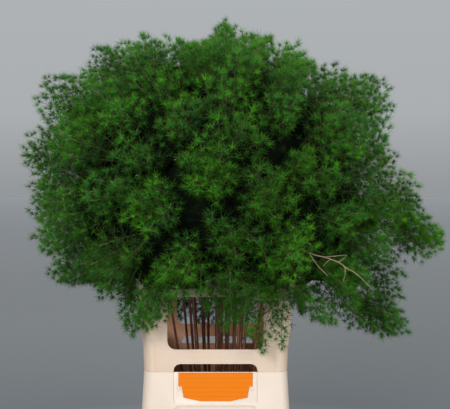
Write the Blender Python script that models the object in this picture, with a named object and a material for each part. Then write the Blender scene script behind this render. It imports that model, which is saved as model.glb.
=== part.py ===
"""Foxtail fern: a bunch of cut leafy stems standing in a cream flower bucket with a windowed collar.

Metres, +Z up, the front faces -Y, and the origin is the middle of the bucket's flat base.
Each leafy stem is two pieces: a bare brown stem that stands in the water, and a green frond
whose branches carry sprigs of needles. Every frond keeps to a cone of its own, so that no two touch.
"""

import bpy
import bmesh
import numpy as np
from math import cos, exp, pi, radians, sin, sqrt

# Gap that touching solids keep between them
GAP = 0.0003

# Bucket: the front is the short side
BUCKET_HEIGHT = 0.300
BUCKET_LONGER = 0.050        # how much further each half of the bucket reaches in Y than in X
BUCKET_WALL = 0.004
RIM_HALF = 0.143
BULGE_HALF = 0.147
BULGE_Z = 0.225
BASE_HALF = 0.120
CORNER = 0.024

# Collar: a loose frame that lengthens the bucket upwards, with a window in each face
COLLAR_WALL = 0.0035
COLLAR_TOP = 0.515
COLLAR_TOP_HALF = 0.158
COLLAR_NECK_Z, COLLAR_NECK_HALF = 0.345, 0.1445
COLLAR_FLARE_Z, COLLAR_FLARE_HALF = 0.385, 0.1495
LIP_DEPTH = 0.014
LIP_WALL = 0.0025
LIP_CLEARANCE = 0.0006
WINDOW_LOW, WINDOW_HIGH = 0.345, 0.450
WINDOW_HALF_FRONT, WINDOW_HALF_SIDE = 0.095, 0.143
WINDOW_CORNER = 0.016
HAND_HOLE_HALF, HAND_HOLE_RISE = 0.083, 0.016
CORNER_PANEL_WIDE, CORNER_PANEL_TALL, CORNER_PANEL_DEEP = 0.026, 0.060, 0.0012

# Label card and its holder in the bucket's front wall
HOLDER_HALF, HOLDER_TALL, HOLDER_DEEP = 0.083, 0.062, 0.002
PANEL_TOP, PANEL_LOW, PANEL_DEEP = 0.234, 0.060, 0.002
CARD_THICK = 0.0008
CARD_HALF, CARD_SHOULDER = 0.0735, 0.028
CARD_LOWER_HALF, CARD_LOW = 0.066, 0.050
CARD_FOOT_HALF, CARD_TALL = 0.030, 0.057
PEG_WIDE, PEG_TALL = 0.005, 0.008

# Water
WATER_TOP = 0.090
STEM_HOLE_RADIUS = 0.0040

# Stems: where the bunch passes the floor, the rim and the collar's mouth, as half widths in X
STEM_RADIUS_FOOT, STEM_RADIUS_TOP, STALK_RADIUS_TOP = 0.0032, 0.0024, 0.0020
STEM_SIDES = 4
BUNCH_DEEPER = 1.3           # the bunch's half depth over its half width
BUNCH_AT_FLOOR, BUNCH_AT_RIM, BUNCH_AT_MOUTH = 0.050, 0.080, 0.118
SPLIT_Z = 0.530              # the brown stem ends and the green frond begins here

# Crown: the fronds radiate from this point to the surface of an ellipsoid round it, which swells in places
CROWN = np.array([0.0, 0.0, 0.660])
REACH_LEFT, REACH_RIGHT, REACH_DEEP, REACH_UP, REACH_DOWN = 0.430, 0.408, 0.440, 0.368, 0.425
# Azimuth, elevation and spread in degrees of each swelling, and how much it adds to the reach
SWELLS = (
    (90, -13, 7, 0.26),      # the branch that sticks out on the right, and the one that hangs below it
    (86, -37, 9, 0.24),
    (-90, 31, 10, 0.15),     # the two shoulders, and the flats above them
    (90, 31, 9, 0.14),
    (-90, 52, 13, -0.07),
    (90, 54, 11, -0.05),
    (10, 88, 7, 0.03),       # the peak
    (-90, -16, 14, -0.06),   # the left side below the middle, its hanging tuft, and the hollow under that
    (-90, -29, 5, 0.08),
    (-85, -48, 14, -0.25),
)
FORK_RADIUS = 0.180          # a frond's branches begin this far from the crown's centre
ARCH_RISE, ARCH_PAST = 0.018, 0.040      # how the drooping stems pass over the collar's edge and beyond it
HANG_CLEAR = 0.055           # how far out from the collar the drooping fronds hang
DROOPING_BELOW = -20.0       # the fronds aimed lower than this droop over the collar
# Rings of fronds from the zenith down: elevation in degrees, count, azimuth of the first
RINGS = ((90.0, 1, 0.0), (58.0, 5, 20.0), (26.0, 7, 16.0), (-6.0, 7, 2.0), (-36.0, 6, -28.0))

# Foliage: each frond has a core in its own cone, and each outer face of it is raised into a spray of needles
CORE_RIM, CORE_TOP, CORE_TOP_WIDE = 9, 5, 0.55
BARE_BELOW = -54.0           # the cones of the lowest fronds end half way to this elevation
CORE_SHARE, CORE_ROUGH = 0.77, 0.07      # radius of the dense core over the crown's, and how uneven it is
DROOPING_CORE = 0.34         # least radius of the core's outer face on the fronds that droop over the collar
FROND_GAP = 0.06             # share of its width by which a frond draws in from its neighbours
SPRAY_TWIG, SPRAY_LEAST = 0.0025, 0.045
SPRAY_ROOM, SPRAY_FULL = 0.020, 0.080    # room on a face and length of twig below which the needles shrink
WHORL_LONG, LAST_NEEDLE = 0.006, 0.018
NEEDLE = 0.022
SEED = 4


def material(name, colour, roughness):
    made = bpy.data.materials.new(name)
    made.use_nodes = True
    shader = made.node_tree.nodes["Principled BSDF"]
    shader.inputs["Base Color"].default_value = (*colour, 1.0)
    shader.inputs["Roughness"].default_value = roughness
    shader.inputs["Metallic"].default_value = 0.0
    return made


def place(name, vertices, faces, finish, at=(0.0, 0.0, 0.0), smooth=True):
    """A mesh object whose vertices are given in world space and whose origin is put at the point named."""
    mesh = bpy.data.meshes.new(name)
    shifted = np.asarray(vertices, float) - np.asarray(at, float)
    mesh.from_pydata(shifted.tolist(), [], faces)
    mesh.materials.append(finish)
    if smooth:
        mesh.shade_smooth()
        mesh.set_sharp_from_angle(angle=radians(35))
    made = bpy.data.objects.new(name, mesh)
    made.location = at
    bpy.context.scene.collection.objects.link(made)
    return made


# Lofts: a list of rings of points, joined by quads, either capped at both ends or closed into a loop


def loft(rings, closed=False):
    count = len(rings[0])
    vertices = np.concatenate(rings)
    faces = []
    for level in range(len(rings) if closed else len(rings) - 1):
        low, high = level * count, ((level + 1) % len(rings)) * count
        for k in range(count):
            after = (k + 1) % count
            faces.append((low + k, low + after, high + after, high + k))
    if not closed:
        faces.append(tuple(reversed(range(count))))
        faces.append(tuple(range((len(rings) - 1) * count, len(rings) * count)))
    return vertices, faces


def rounded_rectangle(half_x, half_y, corner, z, steps=4):
    """Points anticlockwise from above, with an arc of steps + 1 points at each corner."""
    points = []
    for quarter, (sx, sy) in enumerate(((1, 1), (-1, 1), (-1, -1), (1, -1))):
        for step in range(steps + 1):
            angle = (quarter + step / steps) * pi / 2
            x = sx * (half_x - corner) + corner * cos(angle)
            y = sy * (half_y - corner) + corner * sin(angle)
            points.append((x, y, z))
    return np.array(points)


def pot_ring(half, z, corner=CORNER):
    return rounded_rectangle(half, half + BUCKET_LONGER, corner, z)


def cutter(name, vertices, faces):
    made = place(name, vertices, faces, bpy.data.materials["cream plastic"], smooth=False)
    turned = bmesh.new()
    turned.from_mesh(made.data)
    bmesh.ops.recalc_face_normals(turned, faces=turned.faces)
    turned.to_mesh(made.data)
    turned.free()
    made.hide_render = True
    made.display_type = "WIRE"
    return made


def cut(target, tool):
    step = target.modifiers.new("cut " + tool.name, "BOOLEAN")
    step.operation = "DIFFERENCE"
    step.solver = "EXACT"
    step.object = tool


def slot_cutter(name, half_wide, low, high, corner, face, depth_from, depth_to):
    """A prism with rounded corners that runs through one face: face is front, back, left or right."""
    outline = rounded_rectangle(half_wide, (high - low) / 2, corner, 0.0, steps=3)
    middle = (high + low) / 2
    rings = []
    for depth in (depth_to, depth_from):
        across, up = outline[:, 0], outline[:, 1] + middle
        out = np.full_like(across, depth)
        sides = {
            "front": (across, -out, up),
            "back": (-across, out, up),
            "right": (out, across, up),
            "left": (-out, -across, up),
        }
        rings.append(np.stack(sides[face], axis=1))
    vertices, faces = loft(rings)
    return cutter(name, vertices, faces)


# Bucket


def half_at(z):
    """The bucket's outer half width in X at a height: from the base out to the bulge, then in to the rim."""
    if z < BULGE_Z:
        return BASE_HALF + (BULGE_HALF - BASE_HALF) * z / BULGE_Z
    return BULGE_HALF + (RIM_HALF - BULGE_HALF) * (z - BULGE_Z) / (BUCKET_HEIGHT - BULGE_Z)


def front_wall(z):
    """Y of the bucket's front wall on the outside."""
    return -(half_at(z) + BUCKET_LONGER)


def wall_panel_cutter(name, half_wide, low, high, corner, depth, side):
    """A rounded plate along the slanting front (side -1) or back wall, sunk to the depth given."""
    outline = rounded_rectangle(half_wide, (high - low) / 2, corner, 0.0, steps=3)
    up = outline[:, 1] + (high + low) / 2
    reach = np.array([-front_wall(z) for z in up])
    flat = np.interp(up, (low, high), (-front_wall(low), -front_wall(high)))
    rings = [
        np.stack((side * -outline[:, 0], side * (np.maximum(reach, flat) + 0.01), up), axis=1),
        np.stack((side * -outline[:, 0], side * (flat - depth), up), axis=1),
    ]
    vertices, faces = loft(rings)
    return cutter(name, vertices, faces)


def make_bucket(finish):
    wall = BUCKET_WALL
    outside = ((0.0, BASE_HALF), (BULGE_Z, BULGE_HALF), (BUCKET_HEIGHT, RIM_HALF))
    inside = ((BUCKET_HEIGHT, RIM_HALF - wall), (BULGE_Z, BULGE_HALF - wall), (wall, half_at(wall) - wall))
    rings = [pot_ring(half, z) for z, half in outside]
    rings += [pot_ring(half, z, CORNER - wall) for z, half in inside]
    vertices, faces = loft(rings)
    bucket = place("bucket", vertices, faces, finish)
    holder_low = BUCKET_HEIGHT - HOLDER_TALL
    for side, word in ((-1, "front"), (1, "back")):
        top = BUCKET_HEIGHT + 0.02
        for kind, low, high, corner, depth in (
            ("_holder", holder_low, top, 0.006, HOLDER_DEEP),
            ("_panel", PANEL_LOW, PANEL_TOP, 0.012, PANEL_DEEP),
        ):
            cut(bucket, wall_panel_cutter(word + kind, HOLDER_HALF, low, high, corner, depth, side))
    return bucket


def holder_floor(z):
    """Y of the front holder's floor, which the cutter above sinks along a straight line."""
    low, high = BUCKET_HEIGHT - HOLDER_TALL, BUCKET_HEIGHT + 0.02
    return np.interp(z, (low, high), (front_wall(low), front_wall(high))) + HOLDER_DEEP


def make_pegs(bucket):
    """Two pegs on the holder's floor, on which the card's shoulders rest. They are fused to the bucket."""
    top = BUCKET_HEIGHT - CARD_SHOULDER - GAP
    for side in (-1, 1):
        middle = side * (CARD_HALF - PEG_WIDE / 2 + 0.001)
        outline = rounded_rectangle(PEG_WIDE / 2, PEG_TALL / 2, 0.001, 0.0, steps=1)
        z = outline[:, 1] + top - PEG_TALL / 2
        floor = np.array([holder_floor(value) for value in z])
        rings = [
            np.stack((outline[:, 0] + middle, floor - HOLDER_DEEP, z), axis=1),
            np.stack((outline[:, 0] + middle, floor + 0.001, z), axis=1),
        ]
        vertices, faces = loft(rings)
        peg = cutter("peg_left" if side < 0 else "peg_right", vertices, faces)
        join = bucket.modifiers.new("join " + peg.name, "BOOLEAN")
        join.operation = "UNION"
        join.solver = "EXACT"
        join.object = peg


def make_label(finish):
    """A card with shoulders, narrower and slightly pointed below, that lies in the holder."""
    half = (
        (CARD_HALF, 0.001),
        (CARD_HALF, CARD_SHOULDER),
        (CARD_LOWER_HALF + 0.001, CARD_SHOULDER),
        (CARD_LOWER_HALF - 0.003, CARD_LOW),
        (CARD_FOOT_HALF, CARD_TALL),
    )
    outline = [(-x, BUCKET_HEIGHT - z) for x, z in half] + [(x, BUCKET_HEIGHT - z) for x, z in reversed(half)]
    rings = []
    for lift in (GAP, CARD_THICK + GAP):
        rings.append(np.array([(x, holder_floor(z) - lift, z) for x, z in outline]))
    vertices, faces = loft(rings)
    return place("label_card", vertices, faces, finish, smooth=False)


# Collar


def make_collar(finish):
    bottom = BUCKET_HEIGHT + GAP
    lip_low = bottom - LIP_DEPTH
    lip_outer = RIM_HALF - BUCKET_WALL - LIP_CLEARANCE
    lip_inner = lip_outer - LIP_WALL
    profile = (
        (RIM_HALF, bottom),
        (COLLAR_NECK_HALF, COLLAR_NECK_Z),
        (COLLAR_FLARE_HALF, COLLAR_FLARE_Z),
        (COLLAR_TOP_HALF, COLLAR_TOP),
        (COLLAR_TOP_HALF - COLLAR_WALL, COLLAR_TOP),
        (COLLAR_FLARE_HALF - COLLAR_WALL, COLLAR_FLARE_Z),
        (COLLAR_NECK_HALF - COLLAR_WALL, COLLAR_NECK_Z),
        (lip_inner, bottom),
        (lip_inner, lip_low),
        (lip_outer, lip_low),
        (lip_outer, bottom),
    )
    rings = []
    for half, z in profile:
        corner = CORNER if half > lip_outer + BUCKET_WALL / 2 else CORNER - BUCKET_WALL
        rings.append(pot_ring(half, z, corner))
    vertices, faces = loft(rings, closed=True)
    collar = place("collar", vertices, faces, finish)
    inner, outer = lip_inner - 0.01, COLLAR_TOP_HALF + 0.01
    for face, half in (
        ("front", WINDOW_HALF_FRONT),
        ("back", WINDOW_HALF_FRONT),
        ("left", WINDOW_HALF_SIDE),
        ("right", WINDOW_HALF_SIDE),
    ):
        extra = BUCKET_LONGER if face in ("front", "back") else 0.0
        cut(collar, slot_cutter(face + "_window", half, WINDOW_LOW, WINDOW_HIGH, WINDOW_CORNER, face,
                                inner + extra, outer + extra))
        if extra:
            low, high = lip_low - 0.02, bottom + HAND_HOLE_RISE
            cut(collar, slot_cutter(face + "_hand_hole", HAND_HOLE_HALF, low, high, 0.013, face,
                                    inner + extra, outer + extra))
    for side, word in ((-1, "left"), (1, "right")):
        low = bottom + 0.003
        middle = side * (RIM_HALF - CORNER_PANEL_WIDE / 2 + 0.002)
        y = front_wall(BUCKET_HEIGHT)
        rings = []
        for depth in (-0.02, CORNER_PANEL_DEEP):
            ring = rounded_rectangle(CORNER_PANEL_WIDE / 2, CORNER_PANEL_TALL / 2, 0.003, 0.0, steps=1)
            z = ring[:, 1] + low + CORNER_PANEL_TALL / 2
            lean = (COLLAR_NECK_HALF - RIM_HALF) * (z - bottom) / (COLLAR_NECK_Z - bottom)
            rings.append(np.stack((ring[:, 0] + middle, y - lean + depth, z), axis=1))
        vertices, faces = loft(rings)
        cut(collar, cutter(word + "_corner_panel", vertices, faces))
    return collar


# Leafy stems: directions, routes and reach


def direction(azimuth, elevation):
    """Azimuth 0 points to the front and 90 to the right, in degrees."""
    a, e = radians(azimuth), radians(elevation)
    return np.array([sin(a) * cos(e), -cos(a) * cos(e), sin(e)])


def reach(towards):
    """Distance from the crown's centre to its surface: an ellipsoid of five half axes, with its swellings."""
    x, y, z = towards
    along_x = REACH_RIGHT if x > 0 else REACH_LEFT
    along_z = REACH_UP if z > 0 else REACH_DOWN
    swelling = 1.0
    for azimuth, elevation, spread, share in SWELLS:
        turned = 1 - towards @ direction(azimuth, elevation)
        swelling += share * exp(-turned / (1 - cos(radians(spread))))
    return swelling / sqrt((x / along_x) ** 2 + (y / REACH_DEEP) ** 2 + (z / along_z) ** 2)


def level_point(azimuth, out, z):
    """The point at this height that lies this far out from the crown's axis."""
    return np.array([*(CROWN + out * direction(azimuth, 0.0))[:2], z])


def collar_edge(azimuth):
    """How far the collar's outer edge lies from the crown's axis that way."""
    x, y, _ = direction(azimuth, 0.0)
    return min(COLLAR_TOP_HALF / max(abs(x), 1e-6), (COLLAR_TOP_HALF + BUCKET_LONGER) / max(abs(y), 1e-6))


def smooth_route(points, per_span=10):
    """A Catmull-Rom curve through the points."""
    points = np.asarray(points, float)
    padded = np.vstack((2 * points[0] - points[1], points, 2 * points[-1] - points[-2]))
    route = []
    for span in range(len(points) - 1):
        a, b, c, d = padded[span:span + 4]
        for t in np.linspace(0, 1, per_span, endpoint=False):
            route.append(0.5 * (2 * b + (c - a) * t + (2 * a - 5 * b + 4 * c - d) * t**2
                                + (3 * b - a - 3 * c + d) * t**3))
    route.append(points[-1])
    return np.array(route)


def split_index(route, azimuth, drooping):
    """The point of the route where the stem turns into the frond: at a height, or above the collar's wall."""
    if drooping:
        out = np.linalg.norm((route - CROWN)[:, :2], axis=1)
        return int(np.argmax(out > collar_edge(azimuth) - 3 * COLLAR_WALL))
    return int(np.argmax(route[:, 2] > SPLIT_Z))


def plan_stems():
    """One entry for each leafy stem: the direction of its frond, and its centreline from foot to fork."""
    lowest = RINGS[-1][0]
    plans = []
    for elevation, count, first in RINGS:
        share = (90.0 - elevation) / (90.0 - lowest)
        drooping = elevation < DROOPING_BELOW
        for k in range(count):
            azimuth = first + 360.0 * k / count
            outward = direction(azimuth, 0.0) * np.array([1.0, BUNCH_DEEPER, 0.0])

            def bunch(half, z):
                return outward * half * share + np.array([0.0, 0.0, z])

            points = [
                bunch(BUNCH_AT_FLOOR, BUCKET_WALL + GAP),
                bunch(BUNCH_AT_FLOOR, WATER_TOP + 0.02),
                bunch(BUNCH_AT_RIM, BUCKET_HEIGHT),
                bunch(BUNCH_AT_MOUTH, COLLAR_TOP - 0.01),
            ]
            if drooping:
                edge = max(collar_edge(azimuth) + ARCH_PAST, 0.20)
                arch = COLLAR_TOP + ARCH_RISE
                points.append(level_point(azimuth, 0.5 * (edge + BUNCH_AT_MOUTH), arch + 0.024))
                points.append(level_point(azimuth, edge, arch))
            else:
                points.append(CROWN + FORK_RADIUS * direction(azimuth, elevation))
            route = smooth_route(points)
            plans.append({"azimuth": azimuth, "towards": direction(azimuth, elevation),
                          "route": route, "headings": np.gradient(route, axis=0),
                          "drooping": drooping, "split": split_index(route, azimuth, drooping)})
    return plans


def across(heading):
    """Two unit vectors square to a heading and to each other."""
    helper = np.array([0.0, 1.0, 0.0]) if abs(heading[1]) < 0.9 else np.array([1.0, 0.0, 0.0])
    u = np.cross(helper, heading)
    u /= np.linalg.norm(u)
    return u, np.cross(heading, u)


def tube(centres, headings, radii):
    """A closed tube with a ring of points square to the heading at each of its centres."""
    rings = []
    angles = 2 * pi * np.arange(STEM_SIDES) / STEM_SIDES
    for centre, heading, radius in zip(centres, headings, radii):
        u, v = across(heading / np.linalg.norm(heading))
        rings.append(centre + radius * (np.outer(np.cos(angles), u) + np.outer(np.sin(angles), v)))
    return loft(rings)


def make_stem(name, plan, finish):
    """The bare brown stem, straight through the water and then fanning out to the frond's stalk."""
    route = plan["route"]
    last = plan["split"]
    bends = np.linspace(16, last, round((last - 16) / 5) + 1)
    picks = np.concatenate(([0, 10], bends.round().astype(int)))
    radii = np.linspace(STEM_RADIUS_FOOT, STEM_RADIUS_TOP, len(picks))
    vertices, faces = tube(route[picks], plan["headings"][picks], radii)
    return place(name, vertices, faces, finish, at=route[0])


# Fronds


def cone_edge(towards, others, spoke):
    """How far a frond's cone reaches along a spoke square to its direction, before another is nearer."""
    ahead = others @ spoke
    facing = ahead > 1e-6
    return ((1 - others[facing] @ towards) / ahead[facing]).min()


def core_ring(skin, plan, others, count, share, turn, least, rng):
    """Points of the core round the frond's direction, at a share of the way out to the edge of its cone.

    None is nearer the crown's centre than the least distance.
    """
    towards = plan["towards"]
    u, v = across(towards)
    ring = []
    for k in range(count):
        angle = turn + 2 * pi * k / count
        spoke = cos(angle) * u + sin(angle) * v
        aim = towards + spoke * share * cone_edge(towards, others, spoke)
        aim /= np.linalg.norm(aim)
        radius = max(reach(aim) * CORE_SHARE * (1 + rng.uniform(-CORE_ROUGH, CORE_ROUGH)), least)
        ring.append(skin.add(clear_of_collar(CROWN + radius * aim)))
    return ring


def clear_of_collar(point):
    """The point, moved out from the crown's centre until it lies clear of the collar."""
    step = (point - CROWN) * 0.02
    corner = np.array([COLLAR_TOP_HALF, COLLAR_TOP_HALF + BUCKET_LONGER]) - CORNER
    while point[2] < COLLAR_TOP + 0.02:
        beside = np.maximum(abs(point[:2]) - corner, 0.0)
        if np.linalg.norm(beside) > CORNER + HANG_CLEAR:
            break
        point = point + step
    return point


class Skin:
    """Points and triangles of one frond, with the ways that they grow."""

    def __init__(self):
        self.points, self.faces = [], []

    def add(self, point):
        self.points.append(np.asarray(point, float))
        return len(self.points) - 1

    def raise_needle(self, corners, heading, size, lean, twist, rng):
        """Raises one triangle to a point that leans from square to the heading towards it."""
        a, b, c = (self.points[i] for i in corners)
        normal = np.cross(b - a, c - a)
        normal -= heading * (normal @ heading)
        normal /= np.linalg.norm(normal)
        spread = cos(twist) * normal + sin(twist) * np.cross(heading, normal)
        length = size * NEEDLE * rng.uniform(0.85, 1.1)
        lean = lean + rng.uniform(-0.15, 0.15)
        point = self.add((a + b + c) / 3 + length * (cos(lean) * spread + sin(lean) * heading))
        for k in range(3):
            self.faces.append((corners[k], corners[(k + 1) % 3], point))

    def raise_spray(self, corners, tip, heading, size, rng):
        """Raises one face of the core to a twig, with a whorl of six needles and a last one at its tip."""
        base = np.array([self.points[i] for i in corners])
        middle = base.mean(axis=0)
        spokes = base - middle
        spokes -= np.outer(spokes @ heading, heading)
        spokes /= np.linalg.norm(spokes, axis=1)[:, None]
        below = corners
        for back in (LAST_NEEDLE + WHORL_LONG, LAST_NEEDLE):
            ring = [self.add(tip - heading * back + size * SPRAY_TWIG * spoke) for spoke in spokes]
            for k in range(3):
                a, b, c, d = below[k], below[(k + 1) % 3], ring[(k + 1) % 3], ring[k]
                if below is corners:
                    self.faces.append((a, b, c, d))
                else:
                    self.raise_needle((a, b, c), heading, size, 0.25, 0.5, rng)
                    self.raise_needle((a, c, d), heading, size, 0.75, -0.5, rng)
            below = ring
        last = self.add(tip)
        for k in range(3):
            self.faces.append((below[k], below[(k + 1) % 3], last))


def zip_loops(inner, outer, points, axis):
    """Triangles between two loops that both run once round an axis, taken in the order of their angles."""
    u, v = across(axis)

    def by_angle(loop):
        corners = np.array([points[i] for i in loop])
        offsets = corners - corners.mean(axis=0)
        angles = np.arctan2(offsets @ v, offsets @ u)
        order = np.argsort(angles)
        return [loop[i] for i in order], angles[order]

    inner, inner_angles = by_angle(inner)
    outer, outer_angles = by_angle(outer)
    faces, i, j = [], 0, 0
    while i < len(inner) or j < len(outer):
        step_inner = j == len(outer) or (i < len(inner) and inner_angles[i] < outer_angles[j])
        here, there = inner[i % len(inner)], outer[j % len(outer)]
        if step_inner:
            i += 1
            faces.append((here, inner[i % len(inner)], there))
        else:
            j += 1
            faces.append((here, outer[j % len(outer)], there))
    return faces


def circle_inside(triangle, aim):
    """Radius of the largest circle inside a triangle, as it looks along the aim."""
    flat = triangle - np.outer(triangle @ aim, aim)
    area = np.linalg.norm(np.cross(flat[1] - flat[0], flat[2] - flat[0])) / 2
    around = np.linalg.norm(flat - np.roll(flat, 1, axis=0), axis=1).sum()
    return 2 * area / around


def make_frond(name, plan, others, finish, rng):
    """A stalk, a faceted core inside the frond's own cone, and a spray raised from each outer face."""
    route, towards = plan["route"], plan["towards"]
    picks = np.linspace(plan["split"], len(route) - 1, 4).round().astype(int)
    headings = plan["headings"][picks]
    centres = route[picks]
    centres[0] += headings[0] / np.linalg.norm(headings[0]) * GAP
    foot = centres[0]
    stalk, stalk_faces = tube(centres, headings, np.linspace(STEM_RADIUS_TOP, STALK_RADIUS_TOP, len(picks)))
    skin = Skin()
    for point in stalk:
        skin.add(point)
    skin.faces.extend(stalk_faces[:-1])
    fork = list(range(len(stalk) - STEM_SIDES, len(stalk)))
    turn = rng.uniform(0, 2 * pi)
    rim = core_ring(skin, plan, others, CORE_RIM, 1 - FROND_GAP, turn, 0.0, rng)
    least = DROOPING_CORE if plan["drooping"] else 0.0
    top = core_ring(skin, plan, others, CORE_TOP, CORE_TOP_WIDE, turn + 0.35, least, rng)
    crest = core_ring(skin, plan, others, 1, 0.0, 0.0, least, rng)[0]
    skin.faces.extend(zip_loops(fork, rim, skin.points, towards))
    fan = [(top[k], top[(k + 1) % CORE_TOP], crest) for k in range(CORE_TOP)]
    for corners in zip_loops(rim, top, skin.points, towards) + fan:
        base = np.array([skin.points[i] for i in corners])
        middle = base.mean(axis=0)
        out = np.linalg.norm(middle - CROWN)
        aim = (middle - CROWN) / out
        tip_out = max(reach(aim) * rng.uniform(0.94, 1.0), out + SPRAY_LEAST)
        size = min(1.0, circle_inside(base, aim) / SPRAY_ROOM, (tip_out - out) / SPRAY_FULL)
        skin.raise_spray(corners, CROWN + tip_out * aim, aim, size, rng)
    return place(name, skin.points, skin.faces, finish, at=foot, smooth=False)


# Water


def make_water(plans, finish):
    """The water in the bucket, with a plain hole for each stem."""
    low, high = BUCKET_WALL + GAP, WATER_TOP
    rings = []
    for z in (low, high):
        rings.append(pot_ring(half_at(z) - BUCKET_WALL - GAP * 2, z, CORNER - BUCKET_WALL))
    vertices, faces = loft(rings)
    water = place("water", vertices, faces, finish, smooth=False)
    group = bpy.data.collections.new("stem_holes")
    bpy.context.scene.collection.children.link(group)
    for number, plan in enumerate(plans):
        centres = np.array([plan["route"][0], plan["route"][0]])
        centres[:, 2] = (low - 0.01, high + 0.01)
        hole = tube(centres, ((0.0, 0.0, 1.0),) * 2, (STEM_HOLE_RADIUS,) * 2)
        piece = cutter(f"hole_{number}", *hole)
        bpy.context.scene.collection.objects.unlink(piece)
        group.objects.link(piece)
    step = water.modifiers.new("holes", "BOOLEAN")
    step.operation = "DIFFERENCE"
    step.solver = "MANIFOLD"
    step.operand_type = "COLLECTION"
    step.collection = group
    return water


def main():
    for old in list(bpy.data.objects):
        bpy.data.objects.remove(old)
    cream = material("cream plastic", (0.80, 0.68, 0.56), 0.45)
    collar_cream = material("collar plastic", (0.76, 0.64, 0.52), 0.5)
    card = material("orange card", (0.85, 0.27, 0.02), 0.7)
    clear = material("water", (0.55, 0.62, 0.58), 0.05)
    bark = material("brown stem", (0.10, 0.045, 0.025), 0.7)
    leaf = material("green needles", (0.03, 0.10, 0.015), 0.6)
    bucket = make_bucket(cream)
    make_pegs(bucket)
    make_label(card)
    make_collar(collar_cream)
    plans = plan_stems()
    make_water(plans, clear)
    bare = [direction(plan["azimuth"], BARE_BELOW) for plan in plans[-RINGS[-1][1]:]]
    for index, plan in enumerate(plans):
        make_stem(f"stem_{index + 1:02d}", plan, bark)
        others = np.array([other["towards"] for other in plans if other is not plan] + bare)
        make_frond(f"frond_{index + 1:02d}", plan, others, leaf, np.random.default_rng(SEED + index))


main()
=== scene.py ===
"""Looks of the foxtail fern: a big round bunch of cut greenery in a cream flower bucket.

A loose cream collar with windows lengthens the bucket upwards. Metres, +Z up, the front faces -Y. Every leafy
stem keeps the route and the cone that its solids have: its green end is grown again here from one stalk, its
branches, and a great many small tufts of needles.
"""

from itertools import combinations
from math import cos, pi, radians, sin, sqrt

import bmesh
import bpy
import numpy as np
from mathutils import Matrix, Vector


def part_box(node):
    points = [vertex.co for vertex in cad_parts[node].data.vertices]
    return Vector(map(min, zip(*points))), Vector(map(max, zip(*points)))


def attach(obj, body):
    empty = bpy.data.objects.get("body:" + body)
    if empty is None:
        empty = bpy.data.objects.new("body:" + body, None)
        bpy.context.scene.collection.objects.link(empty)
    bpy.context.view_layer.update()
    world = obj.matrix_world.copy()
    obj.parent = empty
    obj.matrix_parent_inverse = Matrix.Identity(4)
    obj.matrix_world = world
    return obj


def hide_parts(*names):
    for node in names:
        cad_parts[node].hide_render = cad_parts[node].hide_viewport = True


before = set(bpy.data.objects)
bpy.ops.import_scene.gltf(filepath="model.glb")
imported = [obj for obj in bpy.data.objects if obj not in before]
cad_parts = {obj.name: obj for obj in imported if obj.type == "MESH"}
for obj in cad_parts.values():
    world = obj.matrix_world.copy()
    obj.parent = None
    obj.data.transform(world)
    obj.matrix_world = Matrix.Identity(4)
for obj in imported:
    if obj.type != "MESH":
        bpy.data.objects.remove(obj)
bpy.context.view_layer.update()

# The photograph: its frame in pixels, and the camera that sees the bucket where the photograph has it
FRAME_WIDE, FRAME_TALL = 450, 409
CAMERA_AT = np.array([0.0187, -2.193, 0.660])
CAMERA_DIPS = 0.82           # degrees below the level
LENS, SENSOR = 81.2, 36.0

# Container, as the solids have it
COLLAR_SUNK = 0.014          # how deep the collar stands in the bucket's rim
BUCKET_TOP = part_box("collar")[0].z + COLLAR_SUNK
COLLAR_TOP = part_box("collar")[1].z
COLLAR_HALF = np.array([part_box("collar")[1].x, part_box("collar")[1].y])
BUCKET_WALL, COLLAR_WALL, CORNER, SOLID_GAP = 0.004, 0.0035, 0.024, 0.0003
WATER_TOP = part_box("water")[1].z

# Skeleton of the bunch: the same values as in the part's source
STEM_RADIUS_FOOT, STEM_RADIUS_TOP, STALK_RADIUS_TOP = 0.0032, 0.0024, 0.0020
BUNCH_DEEPER = 1.3
BUNCH_AT_FLOOR, BUNCH_AT_RIM, BUNCH_AT_MOUTH = 0.050, 0.080, 0.118
SPLIT_Z = 0.530
CROWN = np.array([0.0, 0.0, 0.660])
REACH_LEFT, REACH_RIGHT, REACH_DEEP, REACH_UP, REACH_DOWN = 0.430, 0.408, 0.440, 0.368, 0.425
# Azimuth, elevation and spread in degrees of each swelling of the crown, and how much it adds to the reach
SWELLS = (
    (90, -13, 7, 0.26),      # the branch that sticks out on the right, and the one that hangs below it
    (86, -37, 9, 0.24),
    (-90, 31, 10, 0.15),     # the two shoulders, and the flats above them
    (90, 31, 9, 0.14),
    (-90, 52, 13, -0.07),
    (90, 54, 11, -0.05),
    (10, 88, 7, 0.03),       # the peak
    (-90, -16, 14, -0.06),   # the left side below the middle, its hanging tuft, and the hollow under that
    (-90, -29, 5, 0.08),
    (-85, -48, 14, -0.25),
)
FORK_RADIUS = 0.180
STRAIGHT_PAST_WATER, UNDER_MOUTH = 0.02, 0.01
ARCH_RISE, ARCH_PAST = 0.018, 0.040
ARCH_CREST, ARCH_LEAST = 0.024, 0.20
DROOPING_BELOW, BARE_BELOW = -20.0, -54.0
RINGS = ((90.0, 1, 0.0), (58.0, 5, 20.0), (26.0, 7, 16.0), (-6.0, 7, 2.0), (-36.0, 6, -28.0))

# Foliage: branches end in clumps of sprays, and a spray is a twig with small tufts of needles
CLUMPS = 150                 # over the whole sphere, of which the lowest are left out
SPRAYS = 785
CLUMP_NUDGE, SPRAY_NUDGE = 0.5, 0.3  # how much each is moved off its even place
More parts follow.
